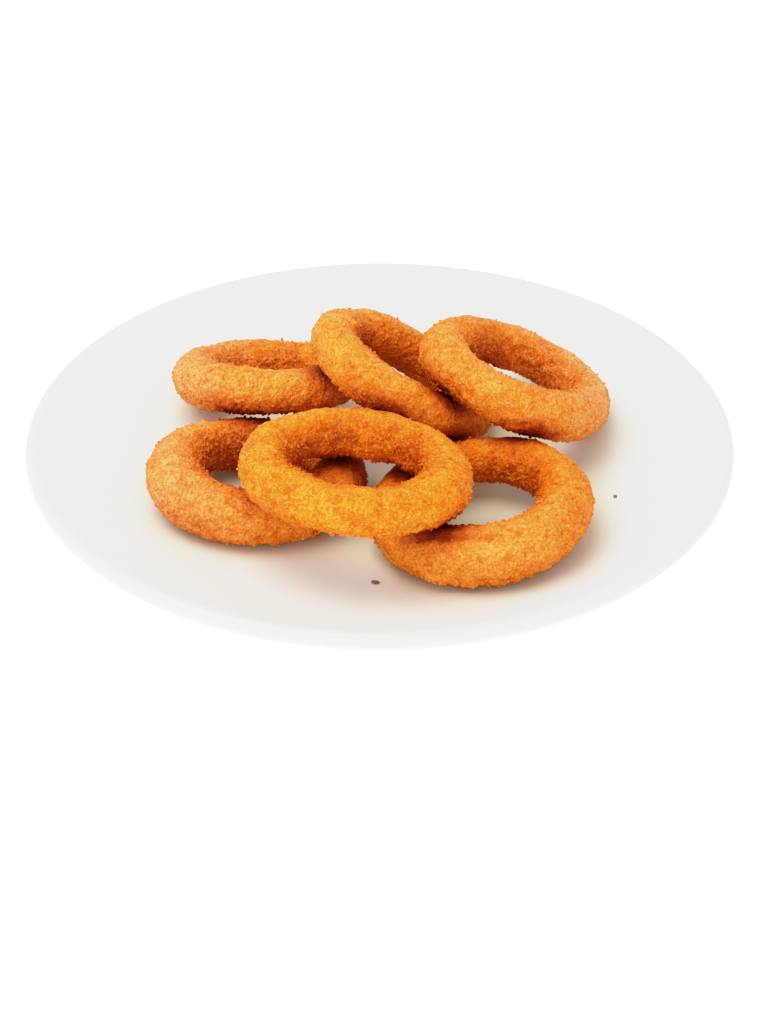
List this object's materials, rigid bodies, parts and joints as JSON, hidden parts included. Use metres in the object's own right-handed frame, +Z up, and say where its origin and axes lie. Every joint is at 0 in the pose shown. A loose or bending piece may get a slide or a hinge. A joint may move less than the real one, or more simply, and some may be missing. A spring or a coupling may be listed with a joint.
{
  "type": "plate of onion rings",
  "caption": "Fried, crumbed onion rings lying in a loose pile on a plain shallow white coupe plate.",
  "frame": {"origin": "middle of the plate, at the level its foot stands on", "axes": "+Z up, +X to the right and +Y away from the viewer"},
  "size_m": [0.265, 0.265, 0.061],
  "materials": {
    "glaze": "glossy white glaze",
    "crust_golden": "rough golden crumb crust, slightly oily",
    "crust_pale": "rough paler crumb crust, slightly oily"
  },
  "bodies": {
    "root": {"plate": "glaze", "ring_back_left": "crust_pale", "ring_back_middle": "crust_golden", "ring_back_right": "crust_pale", "ring_front_left": "crust_pale", "ring_front_middle": "crust_golden", "ring_front_right": "crust_golden"}
  },
  "joints": []
}
